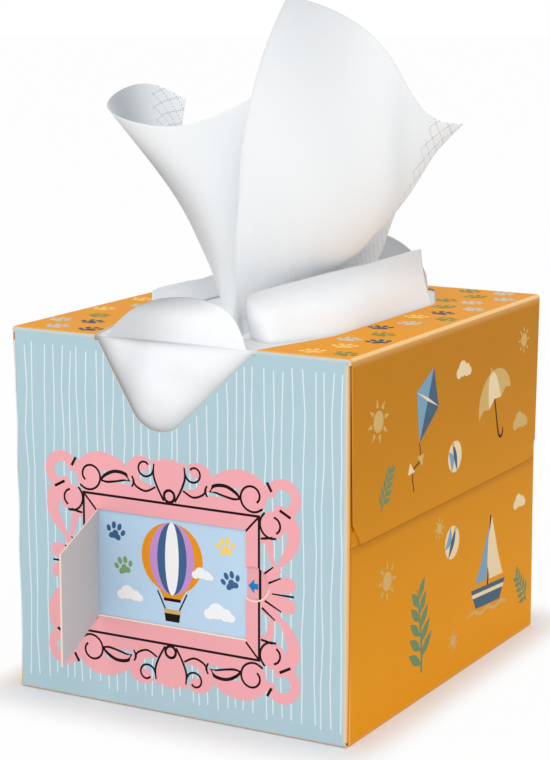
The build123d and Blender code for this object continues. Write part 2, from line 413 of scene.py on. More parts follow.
# Scroll picture frame: the pink leaves and scrolls of one quarter, then its drawn lines
scrolls = in_ink(
    "frame_pink",
    [(0, 0), (32.5, 0), (32.5, 24), (34, 25.4), (33, 27.4), (26, 27.2), (0, 27.2)],
    swash([(12.9, 28.4, 1.6), (16, 31, 3.8), (21, 33.2, 5.4),
           (26.8, 33.6, 6), (31.8, 31.4, 5.4), (34.2, 28.4, 3.4)]),
    disc(29.6, 28.6, 5),
)
leaf_line = [(14.2, 28.6, 0.8), (16.4, 29.6, 3), (20, 29.4, 4.1), (23.4, 28.3, 3.2), (25.6, 27.6, 0.8)]
scrolls += in_ink("line_black", swash(leaf_line))
scrolls += in_ink(
    "frame_pink",
    swash([(15.2, 28.7, 0.3), (16.8, 29.4, 1.4), (20, 29.2, 2.3), (23, 28.3, 1.5), (24.6, 27.8, 0.3)]),
    swash(curl(40.2, 29.2, 4.6, 4.6, 176, -70, 3.4)),
    swash([(37.4, 26, 3.2), (41.8, 23.4, 4.8), (44, 18, 4.6), (42.4, 12.6, 3.6), (38, 7, 0.8)]),
    disc(36.8, 20.6, 4.3),
    swash([(32.6, 16.4, 3), (35.2, 15.2, 2.6), (36.2, 11, 1.9), (37.6, 7, 1)]),
    swash([(5, 27, 2), (9.8, 27.4, 2.8), (13, 30, 4.2),
           (12.6, 33.6, 4.8), (9.6, 34.6, 4.8), (7.4, 33.8, 4)]),
    [(0, 22), (1.9, 22.6), (3.8, 26.2), (5.6, 30.4), (6, 33), (6.1, 35), (0, 35.6)],
    disc(4.6, 34.9, 1.6),
    disc(1.6, 35.5, 1.7),
)
lines = in_ink(
    "line_black",
    [(0, 22.4), (31.6, 22.4), (31.6, 0), (32.4, 0), (32.4, 23.2), (0, 23.2)],
    swash([(32, 22.7, 0.68), (27.3, 17.6, 0.68)], 1),
    swash(curl(29.6, 28.6, 5, 2.3, -42, -405, 0.72)),
    swash([(13.7, 30.2, 0.61), (13, 28.4, 0.76), (13.8, 26.6, 0.53)]),
    swash([(34.8, 33.8, 0.91), (36.4, 31, 0.91)], 1),
    swash([(39.2, 25.6, 0.91), (43, 23.6, 0.91)], 1),
    swash(curl(36.9, 20.6, 4.7, 4.2, 128, 285, 0.72)),
    swash(curl(36.6, 20.4, 2.9, 2.7, 78, -58, 0.72)),
    swash([(32.6, 16, 0.68), (34.6, 16.3, 0.76), (36.8, 16.8, 0.61)]),
    swash([(2, 23.6, 0.72), (4.2, 27.4, 0.72), (5.7, 31.4, 0.72), (5.5, 35, 0.53)]),
    swash([(5, 27.6, 0.61), (8.6, 25.9, 0.72), (12, 27, 0.72), (13.4, 28.8, 0.61)]),
    swash(curl(8.9, 33.4, 3.2, 1.6, 185, 500, 0.68)),
)
crest = [("line_black", disc(0, 25.2, 2.35)), ("frame_pink", disc(0, 25.2, 1.45))]
shell = in_ink(
    "frame_pink",
    swash([(32.6, 2.6, 3), (36, 5.2, 3.8), (39.4, 7.2, 2)]),
    swash([(32.6, -4, 3), (36, -6.8, 3.8), (39.4, -8.8, 2)]),
    swash([(32.6, 0.4, 3.6), (38, 1.8, 5), (43, 2.6, 4.6), (44.6, 2.7, 2)]),
    swash([(32.6, -2.2, 3.6), (38, -3.4, 5), (43, -4.2, 4.6), (44.6, -4.3, 2)]),
)
shell += in_ink(
    "line_black",
    swash([(33, 4.4, 0.76), (37, 7.6, 0.46)], 1),
    swash([(34.3, 1.8, 0.76), (39.6, 4.4, 0.46)], 1),
    swash([(36.5, -0.9, 0.46), (44.2, -0.9, 0.68)], 1),
    swash([(34, -3.4, 0.76), (39.8, -6.2, 0.46)], 1),
    swash([(33, -5.8, 0.76), (37.6, -9.2, 0.46)], 1),
)
quarters = ((1, 1), (-1, 1), (1, -1), (-1, -1))
frame_shapes = mirrored(scrolls, quarters) + mirrored(shell, quarters[:2])
frame_shapes += mirrored(lines, quarters) + mirrored(crest, quarters[::2])
front_shapes += turned(frame_shapes, 1, 0, -2, 46)

# The bare edge of the card shows white under the window and round the foot of its finger notch
under_window = oblong(window_left, window_low - 0.42, window_right, window_low + 0.1)
front_shapes += in_ink("cut_edge", under_window, swash(curl(*finger_notch, 5.5, 5.5, -120, -12, 0.6)))

# The window, its finger notch and the dispensing notch stay clear of ink
window = oblong(window_left, window_low, window_right, window_high)
notch_foot = disc(-5.5, 102.3, 11.3, corners=40)[22:38]
notch = [(-29.5, 121), (-16.2, 97.6), *notch_foot, (4, 93.4), (30, 121)]
front_shapes += in_ink(None, window, disc(*finger_notch, 5.4, corners=48), notch)
print_skin("front_print", front_shapes, lambda u, v: (u, -half_depth - ink_lift, v))

# Print on the top
# A thin skin of ink on the top panel: rows of paw prints in four colours on both sides of the opening,
# each turned a little its own way.
top_shapes = []
colours = ["top_grey", "top_navy", "top_cream", "top_green"]
count = 0


def clear_half(v):
    """Half the width that the opening and a margin take up at a place along the top."""
    if -40 < v < 36:
        return 43
    if abs(v) < 60:
        return 42 if v < 0 else 36
    return 34 if v < 0 else 0


for row in range(12):
    for column in range(-5, 6):
        u = column * 11.4 + (row % 2) * 5.2 - 2 + draw.uniform(-1, 1)
        v = -65 + row * 12 + draw.uniform(-1, 1)
        turn = draw.uniform(-40, 40)
        if clear_half(v) < abs(u) < half_width - 5.5 and abs(v) < half_depth - 5:
            top_shapes += paw(colours[count % 4], u, v, 1.05, turn)
            count += 1
print_skin("top_print", top_shapes, lambda u, v: (u, v, box_height + ink_lift))

# Print on the ends
# Small holiday pictures, each drawn once about its middle and then set about both ends. The upper flap
# and the panel below it, one board further in, have a thin skin of ink each.
sailboat = [
    ("line_black", oblong(-0.4, -5, 0.4, 16)),
    ("motif_cream", swash([(1.2, -3.4, 0.3), (1.6, 5, 6.4), (1, 15, 0.4)])),
    ("motif_cream", [(1, -3.4), (11, -3.4), (6.6, 4), (1, 15.4)]),
    ("motif_sky", [(-1, -3.4), (-9, -3.4), (-5, 3.4), (-1, 13)]),
    ("motif_slate", [(-12, -5), (13, -5), (9.4, -11), (-8, -11)]),
    ("motif_cream", [(-11.2, -6.4), (12.2, -6.4), (11.6, -7.6), (-10.4, -7.6)]),
    ("motif_tan", swash([(-14, -12.6, 0.6), (-9, -11.8, 1), (-4, -13, 1),
                         (1, -11.8, 1), (6, -13, 1), (11, -11.8, 1), (15, -12.8, 0.6)])),
]
kite = [
    ("line_black", swash([(0, -13, 0.5), (3, -18, 0.6), (-1, -23, 0.6), (3, -29, 0.5)])),
    ("motif_tan", [(0.4, -17.6), (4.8, -15.4), (5.4, -19.6)]),
    ("motif_cream", [(0.6, -22.6), (-4.2, -20.8), (-4, -25)]),
    ("motif_sky", [(0, 13), (-9.4, 2), (0, -13)]),
    ("motif_slate", [(0, 13), (9.4, 2), (0, -13)]),
    ("motif_cream", [(0, 2.6), (-9.4, 2), (0, 1.4), (9.4, 2)]),
]
umbrella = [
    ("line_black", swash([(0, 11.8, 0.8), (0, 0, 0.8), (0, -10, 0.9),
                          (1.2, -12.6, 0.9), (3.2, -12.2, 0.9), (3.6, -10.4, 0.6)])),
    ("motif_tan", [*disc(0, 0, 13, 11, 0, 40)[:21], (-9, 1.6), (-5, 0), (0, 1.6), (5, 0), (9, 1.6)]),
    ("motif_cream", [*[(a * 0.36, b) for a, b in disc(0, 0, 13, 11, 0, 40)[:21]], (0, 1.6)]),
    ("motif_tan", swash([(0, 12.6, 0.7), (0, 10.6, 1.2)], 1)),
]
sun = [("motif_tan", disc(0, 0, 3.4))]
beam = in_ink("motif_tan", swash([(4.4, 0, 1.5), (7, 0, 0.3)], 1))
for count in range(8):
    sun += turned(beam, 1, 45 * count, 0, 0)
sprig = [("motif_green", swash([(0, -15, 1.4), (0.8, -5, 1.3), (0, 6, 1.1), (-0.6, 14, 0.6)]))]
for level in range(5):
    for side in (-1, 1):
        low = -11 + level * 5 + side * 1.2
        reach = 8.4 - level * 0.9
        leaf = [(0, low, 0.5), (side * reach * 0.5, low + 3, 3.4), (side * reach, low + 6, 0.4)]
        sprig.append(("motif_green", swash(leaf)))
ball = [
    ("motif_cream", disc(0, 0, 7)),
    ("motif_sky", swash([(-5, -4.9, 0.4), (-3, 0, 4), (-5, 4.9, 0.4)])),
    ("motif_slate", swash([(0, -6.9, 0.4), (0.4, 0, 3.2), (0, 6.9, 0.4)])),
    ("motif_tan", disc(0, 6, 1.2)),
]


def cloud(ink):
    """A small cloud with a flat base."""
    base = [(-4.4, 0), (4.8, 0), (3.6, 1), (-3, 1)]
    puffs = [(-3, 0.9, 1.7), (-0.8, 1.9, 2.5), (2, 1.2, 2), (3.7, 0.6, 1.3)]
    return in_ink(ink, base, *[disc(a, b, r, r * 0.9) for a, b, r in puffs])


# Each picture's shapes, size, turn and place
upper_motifs = [
    (sun, 1, 10, -54, 98),
    (kite, 0.95, -24, -20, 97),
    (cloud("motif_cream"), 1.2, 0, 8, 102),
    (umbrella, 1.05, 16, 34, 88),
    (sun, 0.7, 0, 58, 106),
    (cloud("motif_tan"), 1.3, 0, 56, 76),
    (sprig, 0.5, -30, -48, 76),
    (ball, 0.75, 20, 2, 76),
]
lower_motifs = [
    (sailboat, 1.15, -4, 32, 31),
    (sprig, 1, 6, -22, 24),
    (ball, 0.8, -30, 2, 47),
    (sun, 0.9, 0, -46, 46),
    (cloud("motif_cream"), 1.1, 0, 58, 47),
    (sun, 0.6, 20, 4, 13),
    (sprig, 0.55, 40, 61, 17),
    (sun, 0.55, 0, -8, 54),
]
for name, side in (("right", 1), ("left", -1)):
    for panel, motifs, inset in (("upper", upper_motifs, 0), ("lower", lower_motifs, board)):
        end = side * (half_width - inset + ink_lift)
        end_shapes = [shape for motif in motifs for shape in turned(*motif)]
        print_skin(f"{name}_{panel}_print", end_shapes, lambda u, v: (end, side * u, v))

# Print on the back
# A thin skin of ink on the back panel: the paw prints of the top again, larger and further apart.
back_shapes = []
for row in range(4):
    for column in range(5):
        u = -46 + column * 23 + (row % 2) * 8 - 4
        v = 17 + row * 29
        back_shapes += paw(colours[(row + 2 * column) % 4], u, v, 1.9, draw.uniform(-30, 30))
print_skin("back_print", back_shapes, lambda u, v: (-u, half_depth + ink_lift, v))

# Picture card
# A printed card glued behind the front wall, which closes the window from inside. It carries a small
# balloon scene, and a pull arrow on the pink that shows in the finger notch.
picture_front = -half_depth + board + 0.1
picture_ground = shade(194, 221, 243)
notch_pink = shade(240, 172, 178)

picture, picture_shader, picture_place = start_material("picture_card", 0.48, 0.06)
at_picture = picture_place.outputs["Object"]
in_notch = calc(picture, "GREATER_THAN", split(picture, at_picture)["X"], window_right * mm)
ground = paint_over(picture, in_notch, picture_ground, notch_pink)
way = split(picture, picture_place.outputs["Normal"])["Y"]
front_side = calc(picture, "LESS_THAN", way, -mostly)
back_side = calc(picture, "GREATER_THAN", way, mostly)
bare = paint_over(picture, back_side, cut_cream, inside_white)
finish_as_card(picture, picture_shader, at_picture, paint_over(picture, front_side, bare, ground))
dress(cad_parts["picture_card"], picture)

balloon = [
    ("line_black", swash([(-5.4, -11, 0.5), (-2.4, -17, 0.5)], 1)),
    ("line_black", swash([(5.4, -11, 0.5), (2.4, -17, 0.5)], 1)),
    ("picture_orange", [(-6.4, -8), (6.4, -8), (3, -13.4), (-3, -13.4)]),
    ("picture_orange", disc(0, 0, 11.2, 11.4, 0, 48)),
    ("picture_lilac", disc(0, -0.2, 8.2, 11.6, 0, 48)),
    ("paw_blue", disc(0, -0.2, 5.4, 11.7, 0, 48)),
    ("picture_white", disc(0, -0.2, 2.5, 11.8, 0, 40)),
    ("line_black", [(-3.2, -13), (3.2, -13), (3, -14), (-3, -14)]),
    ("line_black", [(-3.1, -16.6), (3.1, -16.6), (2.5, -20.6), (-2.5, -20.6)]),
    ("motif_tan", [(-3.1, -16.6), (3.1, -16.6), (2.9, -18), (-2.9, -18)]),
]
arrow = [(25.9, 46.4), (28, 48.7), (28, 47.3), (29.4, 47.3), (29.4, 45.5), (28, 45.5), (28, 44.1)]
puffy = cloud("picture_white")
picture_shapes = turned(puffy, 1, 0, -17.5, 36) + turned(puffy, 1.15, 0, 15.4, 34.2)
picture_shapes += turned(balloon, 1, 0, -1.6, 51.2) + turned(puffy, 0.8, 0, 9.4, 46.4)
picture_shapes += paw("paw_blue", -22.4, 57.4, 0.88, -12) + paw("paw_green", -19.6, 46.6, 0.86, 14)
picture_shapes += paw("paw_yellow", 17.8, 57.6, 0.86, 10) + paw("paw_blue", 19.6, 47, 0.88, 20)
picture_shapes += [("line_black", oblong(29.6, 41.6, 30.5, 53.2)), ("arrow_blue", arrow)]
print_skin("picture_print", picture_shapes, lambda u, v: (u, picture_front - ink_lift, v))

# Picture door
# The part of the front wall that is cut out for the window, folded open on its left edge. Inside it is
# the grey-white back of the card, with cream cut edges. Outside it is printed with paws on pale blue.
door_turn = math.radians(68)
door_along = Vector((math.cos(door_turn), -math.sin(door_turn), 0))
door_outwards = Vector((-math.sin(door_turn), -math.cos(door_turn), 0))
door_hinge = Vector((window_left, -half_depth, 0))

door, door_shader, door_place = start_material("door_card", 0.55, 0.06)
faces_out = {0: door_place.outputs["Normal"], 1: door_outwards}
faces_out = wire(door, "ShaderNodeVectorMath", faces_out, operation="DOT_PRODUCT").outputs["Value"]
outside = calc(door, "GREATER_THAN", faces_out, mostly)
inside = calc(door, "LESS_THAN", faces_out, -mostly)
door_colour = paint_over(door, inside, cut_cream, inside_white)
door_colour = paint_over(door, outside, door_colour, picture_ground)
finish_as_card(door, door_shader, door_place.outputs["Object"], door_colour)
dress(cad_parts["door_flap"], door)


def on_door(u, v):
    """A place on the door's outside, by its distance from the hinge and its height."""
    return door_hinge + door_along * u + door_outwards * ink_lift + Vector((0, 0, v))


door_shapes = paw("paw_blue", 9, 55, 1, 14) + paw("paw_green", 24, 40, 1.1, -12)
door_shapes += paw("paw_yellow", 31, 56, 1, 24) + paw("paw_blue", 44, 45, 1.1, -20)
door_shapes += paw("paw_yellow", 10, 37, 1, 4)
print_skin("door_print", door_shapes, on_door, "door")

# Dispensing film
# A thin white plastic sheet glued behind the opening and the notch and slit along its middle. The pulled
# tissue has pushed its two long lips and its two end tabs up, and it swells out of the notch.
film_level = 119.36
film_front = -71.86
film_low = 82.4
film_half = 46
film_side = 47
film_bend = 0.66
bend_low = 118.7
film_front_end = -68.2
film_back_end = 66.4
left_lip_front = -27
film_thickness = 0.15
flat_margin = 7
# The share of painted shade on the flat film under the card
flat_film_shade = 0.3
opening_half = 38
wide_from = -38.5
wide_to = 34.5
notch_tip = Vector((-5.5, 102.3))
notch_tip_radius = 11
notch_half = 29


def make_sheet(name, rows):
    """A sheet through rows of points in millimetres, which may have a share of painted shade as a fourth
    value.
    """
    count = len(rows[0])
    faces = []
    for row in range(len(rows) - 1):
        for column in range(count - 1):
            corner = row * count + column
            faces.append((corner, corner + 1, corner + count + 1, corner + count))
    points = [point for row in rows for point in row]
    mesh = bpy.data.meshes.new(name)
    mesh.from_pydata([Vector(point[:3]) * mm for point in points], [], faces)
    if len(points[0]) > 3:
        grey = mesh.attributes.new("grey", "FLOAT", "POINT")
        grey.data.foreach_set("value", [point[3] for point in points])
    sheet = bpy.data.objects.new(name, mesh)
    bpy.context.collection.objects.link(sheet)
    return sheet


def through(points, shares):
    """Places along a smooth curve through points, by shares of 0 to 1."""
    points = np.array(points, float)
    steps = np.linalg.norm(np.diff(points, axis=0), axis=1)
    knots = np.concatenate(([0], np.cumsum(steps)))
    system = np.eye(len(points))
    wanted = np.zeros_like(points)
    for i in range(1, len(points) - 1):
        before, after = steps[i - 1], steps[i]
        system[i, i - 1:i + 2] = before, 2 * (before + after), after
        wanted[i] = 6 * ((points[i + 1] - points[i]) / after - (points[i] - points[i - 1]) / before)
    bends = np.linalg.solve(system, wanted)
    at = np.array(shares) * knots[-1]
    i = np.clip(np.searchsorted(knots, at) - 1, 0, len(points) - 2)
    a = (knots[i + 1] - at)[:, None]
    b = (at - knots[i])[:, None]
    h = steps[i][:, None]
    curve = (bends[i] * a ** 3 + bends[i + 1] * b ** 3) / (6 * h)
    return curve + (points[i] / h - bends[i] * h / 6) * a + (points[i + 1] / h - bends[i + 1] * h / 6) * b


def half_opening(y):
    """Half the width of the top's opening at a place along the box."""
    if y < wide_from:
        return opening_half - 9 * (wide_from - y) / 34
    if y > wide_to:
        return opening_half - 15 * (y - wide_to) / 32
    return opening_half


def ease(share):
    """A soft step from 0 to 1."""
    share = min(max(share, 0), 1)
    return share * share * (3 - 2 * share)


def lip_row(base, edge, out, fullness, shade_at_edge):
    """One section of a lip: flat under the card, then up, out and rolled in to its free edge."""
    base = Vector((*base, film_level))
    edge = Vector(edge)
    out = Vector((*out, 0)).normalized()
    reach = (math.copysign(film_side, out.x) - base.x) / out.x
    if out.y < -0.01:
        reach = min(reach, (film_front_end - base.y) / out.y)
    row = [(*(base + out * reach * (1 - step / 9)), flat_film_shade) for step in range(9)]
    rise = edge.z - box_height
    span = (edge - base).to_2d().length
    up = Vector((0, 0, 1))
    bulge = base + (edge - base) / 3 + (out * (6.5 + span / 3) + up * rise / 2) * fullness
    roll = base + (edge - base) * 2 / 3 + (out * 13 + up * (5.5 + rise / 3)) * fullness
    for step in range(37):
        t = step / 36
        place = base * (1 - t) ** 3 + bulge * 3 * t * (1 - t) ** 2
        place += roll * 3 * t * t * (1 - t) + edge * t ** 3
        ripple = 0.25 * math.sin(0.16 * base.y + 4 * t) * t * t + 0.1 * math.sin(0.41 * base.y - 3 * t) * t
        place += (out + 0.6 * up) * ripple
        # Painted shade, dark at the lip's base and greying towards its free edge
        row.append((*place, 0.4 * math.exp(-t / 0.04) + shade_at_edge * ease((t - 0.4) / 0.6)))
    return row


def flat_rows(side, y_from, y_to):
    """The film that stays flat beside the opening's slanting edges."""
    rows = []
    for step in range(13):
        y = y_from + (y_to - y_from) * step / 12
        width = half_opening(y) - flat_margin - film_side
        columns = [side * (film_side + width * column / 8) for column in range(9)]
        rows.append([(x, y, film_level, flat_film_shade) for x in columns])
    return rows


def notch_inset(x, z):
    """How far a point lies inside the notch: from its round tip, or else from the nearer straight side."""
    away = Vector((x, z)) - notch_tip
    ways_out = []
    for side in (-1, 1):
        reach = notch_tip - Vector((side * notch_half, box_height))
        lean = math.asin(notch_tip_radius / reach.length)
        along = Matrix.Rotation(lean * side, 2) @ reach.normalized()
        ways_out.append(Vector((-along.y, along.x)) * side)
    left, right = ways_out
    turn = left.cross(right)
    in_tip = away.cross(right) * turn > 0 and left.cross(away) * turn > 0
    from_tip = away.length if in_tip else max(away.dot(left), away.dot(right))
    return max(notch_tip_radius - from_tip, 0)


def swell(x, z):
    """How far the film stands out of the notch at a place of the front."""
    share = (1 - math.exp(-notch_inset(x, z) / 5)) * (1 - math.exp(-max(119.2 - z, 0) / 6))
    dent = 0.5 * math.sin(0.21 * x + 0.33 * z) + 0.4 * math.sin(0.34 * x - 0.2 * z + 1)
    return share * (4.2 + dent)


def rim_painted_shade(x, z):
    """Painted shade on the film along the notch's rim, along its bend to the top and in a soft streak beside
    the notch.
    """
    to_right = ease((x - notch_tip.x + 12) / 24)
    grey = (0.95 - 0.5 * to_right) * math.exp(-notch_inset(x, z) / (3.8 - 2 * to_right))
    bend = 0.6 * math.exp(-max(119.3 - z, 0) / 0.9) * (1 - 0.75 * ease((x + 8) / 28))
    hollow_shade = 0.16 * math.exp(-((x + 13) / 5) ** 2) * ease((z - 98) / 14)
    return min(max(grey, bend) + hollow_shade, 0.9)


def front_rows():
    """The front of the film: flat behind the card, swelling out of the notch, and bent over to the top."""
    rows = []
    columns = [-film_half + 2 * film_half * column / 138 for column in range(139)]
    for step in range(91):
        z = film_low + (bend_low - film_low) * step / 90
        rows.append([(x, film_front - swell(x, z), z, rim_painted_shade(x, z)) for x in columns])
    for step in range(1, 6):
        turn = math.pi / 2 * step / 5
        y = film_front + film_bend * (1 - math.cos(turn))
        z = bend_low + film_bend * math.sin(turn)
        rows.append([(x, y, z, rim_painted_shade(x, z)) for x in columns])
    bend_back = film_front + film_bend
    for step in range(1, 6):
        y = bend_back + (film_front_end - bend_back) * step / 5
        rows.append([(x, y, film_level, flat_film_shade) for x in columns])
    return rows


def tab_rows(half, length, root, lean_to, lean, shade_left, shade_right, shade_edge):
    """A tab with a round edge that bends up from its straight root and leans over the slit."""
    rows = []
    start = math.radians(88)
    bend = length / (start - math.radians(lean_to))
    round_edge = (half ** 2 + length ** 2) / (2 * length)
    for step in range(25):
        row = []
        for column in range(49):
            x = half * math.sin(math.pi * (column / 48 - 0.5))
            run = (math.sqrt(round_edge ** 2 - x ** 2) - round_edge + length) * step / 24
            now = start - run / bend
            y = root + lean * (bend * (math.sin(start) - math.sin(now)) + 4 * (x / half) ** 2 * run / length)
            z = film_level + bend * (math.cos(now) - math.cos(start))
            # Painted shade, greyer on the left and on the top of the round edge
            side = ease((0.35 - x / half) / 1.1)
            grey = shade_right + (shade_left - shade_right) * side
            grey += shade_edge * (1 - ease((x / half - 0.1) / 0.6)) * ease((run / length - 0.45) / 0.55)
            row.append((x, y, z, grey))
        rows.append(row)
    return rows


back_columns = [-film_half + 3.07 * column for column in range(31)]
back_places = [film_back_end + 0.9 * row for row in range(6)]
back_rows = [[(x, y, film_level, flat_film_shade) for x in back_columns] for y in back_places]
film_parts = [
    front_rows(),
    tab_rows(25, 16, -71.3, 30, 1, 0.5, 0, 0.5),
    tab_rows(21, 24, 65, 43, -1, 1, 0.25, 0),
    back_rows,
    flat_rows(-1, film_front_end, left_lip_front),
    flat_rows(-1, wide_to, film_back_end),
    flat_rows(1, wide_to, film_back_end),
]

# The right lip's base, free edge, outward way, fullness and painted shade, from its rolled front end to its
# back
right_lip = [
    (16.4, -53.2, 15.1, -53, 133.2, -0.75, -0.66, 0.12, 0.5),
    (20.4, -56.3, 15.5, -50.8, 133.3, -0.2, -1, 0.14, 0.44),
    (25.4, -57.3, 16.1, -47, 133.6, 0.4, -0.92, 0.17, 0.38),
    (28.2, -54, 16.8, -43, 133.8, 0.75, -0.65, 0.2, 0.34),
    (30.8, -48.2, 17.9, -36.5, 134.2, 0.92, -0.4, 0.24, 0.32),
    (36.3, -34.1, 19.8, -25, 134.9, 1, -0.12, 0.28, 0.3),
    (36.8, -8, 25, -4, 136.2, 1, 0, 0.22, 0.28),
    (37, 34.5, 32.5, 34.5, 138.5, 1, 0, -0.1, 0.24),
]
right_rows = []
for *place, fullness, grey in through(right_lip, np.linspace(0, 1, 131)):
    right_rows.append(lip_row(place[:2], place[2:5], place[5:], fullness, grey))
left_rows = []
for step in range(81):
    y = left_lip_front + (wide_to - left_lip_front) * step / 80
    fullness = 0.1 * ease(step / 20)
    left_rows.append(lip_row((1.5 - half_opening(y), y), (-36.5, y, 127.4), (-1, 0), fullness, 0))
film_parts += [right_rows, left_rows]
film = join([make_sheet("film_part", rows) for rows in film_parts], "slit_film")
bpy.ops.object.mode_set(mode="EDIT")
bpy.ops.mesh.select_all(action="SELECT")
bpy.ops.mesh.remove_doubles(threshold=0.02 * mm)
bpy.ops.object.mode_set(mode="OBJECT")
bpy.ops.object.shade_smooth()
thicken(film, film_thickness, 0)

plastic, plastic_shader, plastic_place = start_material("white_film", 0.36, 0.25)
at_film = plastic_place.outputs["Object"]
ripple = noise(plastic, at_film, 70, 2)
haze = noise(plastic, at_film, 420, 2)
# The grey attribute is painted shade on the film's rims, bends, tabs and lips
grey = wire(plastic, "ShaderNodeAttribute", {}, attribute_name="grey").outputs["Fac"]
white = paint_over(plastic, haze, shade(242, 245, 248), shade(248, 250, 252))
milky_with_painted_shade = paint_over(plastic, grey, white, shade(146, 147, 150))
rough = calc(plastic, "MULTIPLY_ADD", haze, 0.16, 0.28)
wavy = wire(plastic, "ShaderNodeBump", {"Strength": 0.25, "Distance": 0.4 * mm, "Height": ripple})
plug(plastic, milky_with_painted_shade, plastic_shader, "Base Color")
plug(plastic, rough, plastic_shader, "Roughness")
plug(plastic, wavy.outputs[0], plastic_shader, "Normal")
dress(film, plastic)
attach(film, "box")
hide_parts("dispensing_film")

# Folded tissues
# A pile of folded paper tissues fills the box. Each slab is one fold of soft paper with rounded edges, the
# upper ones draw in at their sides, and the drawn tissue has lifted the top fold up to the film.
stack_low, stack_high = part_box("tissue_stack")
slab_count = 46
shoulder = 14
ply = 0.2
slab_pitch = (stack_high[2] - stack_low[2]) / slab_count
bpy.ops.mesh.primitive_cube_add(size=1, location=(0, 0, stack_low[2] + slab_pitch / 2))
pile = bpy.context.object
pile.scale = (stack_high[0] - stack_low[0], stack_high[1] - stack_low[1], slab_pitch * 1.02)
bpy.ops.object.transform_apply()
rounded = pile.modifiers.new("soft_folds", "BEVEL")
rounded.width = slab_pitch * 0.42
rounded.segments = 3
bpy.ops.object.modifier_apply(modifier=rounded.name)
layers = pile.modifiers.new("folds", "ARRAY")
layers.count = slab_count
layers.use_relative_offset = False
layers.use_constant_offset = True
layers.constant_offset_displace = (0, 0, slab_pitch * 0.9996)
bpy.ops.object.modifier_apply(modifier=layers.name)
for vertex in pile.data.vertices:
    over = vertex.co.z - (stack_high[2] - shoulder * mm)
    slab = int((vertex.co.z - stack_low[2]) / slab_pitch)
    shift = 0.3 * mm * math.sin(2.4 * slab)
    drawn = shoulder * mm - math.sqrt(max((shoulder * mm) ** 2 - over ** 2, 0)) if over > 0 else 0
    edge = stack_high[0] - drawn - 0.35 * mm
    vertex.co.x = max(-edge, min(edge, vertex.co.x)) + shift
bpy.ops.object.shade_smooth_by_angle(angle=math.radians(50))


def lifted_fold(x, y):
    """The height of the top fold, which the drawn tissue has lifted up to the film."""
    over = max(abs(x) - 43.5, 0)
    lying = stack_high[2] / mm - shoulder + math.sqrt(shoulder ** 2 - over ** 2) + ply
    lift = ease((47 - abs(x)) / 9) * ease((62 - abs(y)) / 16)
    crumple = 0.45 * math.sin(0.13 * x + 0.06 * y) + 0.4 * math.sin(0.19 * y - 0.11 * x + 1)
    crumple += 0.25 * math.sin(0.37 * x - 0.23 * y)
    furrow = 4.4 * math.exp(-((x + 2) / 6) ** 2) * ease((48 - abs(y)) / 14)
    return lying + lift * (7.1 + crumple * ease((35 - abs(x)) / 10) - furrow)


fold_rows = []
for step in range(91):
    y = -67.5 + 1.5 * step
    fold_rows.append([(x, y, lifted_fold(x, y)) for x in np.linspace(-52, 52, 71)])
top_fold = make_sheet("top_fold", fold_rows)
pick(top_fold)
bpy.ops.object.shade_smooth()
thicken(top_fold, ply, 0)
join([pile, top_fold], "folded_tissues")

tissue_white = shade(250, 253, 255)


def finish_as_tissue(material, shader, place, grey):
    """Gives soft paper its creped tooth and faint unevenness."""
    crepe = noise(material, place, 1600, 3)
    drift = noise(material, place, 45, 2)
    colour = paint_over(material, times(material, drift, 0.5), tissue_white, grey)
    tooth = wire(material, "ShaderNodeBump", {"Strength": 0.25, "Distance": 0.05 * mm, "Height": crepe})
    plug(material, colour, shader, "Base Color")
    plug(material, tooth.outputs[0], shader, "Normal")


folded, folded_shader, folded_place = start_material("folded_tissue_paper", 0.9, 0.2)
finish_as_tissue(folded, folded_shader, folded_place.outputs["Object"], shade(238, 240, 242))
dress(pile, folded)
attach(pile, "box")
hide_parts("tissue_stack")

# Pulled tissue
# The uppermost tissue, drawn up through the slit by its middle: gathered there, with one side rolled into
# a curl and the other spread into a tall sail. It is soft creped paper with a dotted border.
plume_turn = math.radians(29.2)
tissue_foot = 112
tissue_width = 0.205
tissue_height = 0.1
border = 12 * mm
diamond = 5.8 * mm
tissue_stations = [
    ((-13, 5, 1.5), (-35.6, 15, 57), (-34.2, 16, 68.6)),
    ((-17, 0, 1.5), (-29, 13, 33), (-48, 20, 73.7)),
    ((-20, -5, 1.5), (-33.5, 3, 32), (-59.9, 7, 67.8)),
    ((-21.5, -10, 1.5), (-29, -8, 31), (-49, -7, 62.4)),
    ((-21.5, -15, 1.5), (-24, -10, 31), (-35.5, -7, 61.6)),
    ((-19.5, -19, 1.5), (-17.5, -8, 31), (-23, 0, 64.8)),
    ((-16, -22, 1.5), (-9, -4, 31), (-9, 8, 71.5)),
    ((-14, -25, 1.5), (-6, -9, 32), (3, 6, 86)),
    ((-16.9, -30, 1.5), (-15.8, -24, 41.8), (-9.9, -12, 79.8), (-1.2, -5, 101.4)),
    ((-14, -27, 1.5), (-2, -27, 30), (16.4, -17, 98)),
    ((-10, -21, 1.5), (11.5, -25, 30), (32.3, -19, 84.7)),
    ((-1, -7, 1.5), (12, -13, 13.2), (28.5, -16, 30), (42, -13.8, 69)),
    ((5, -1, 1.5), (16.5, -4, 13.2), (36.5, -4, 34.5), (51.5, -5, 62.5)),
    ((28, 38, 1.5), (34.2, 25, 20.7), (37.6, 15, 33.9), (57.4, -1, 61.7)),
]


def in_box_frame(across, away, above):
    """A place of the plume, seen from the box's front right corner, in the box's own frame."""
    x = across * math.cos(plume_turn) - away * math.sin(plume_turn)
    y = across * math.sin(plume_turn) + away * math.cos(plume_turn)
    return (x, y, box_height + above)


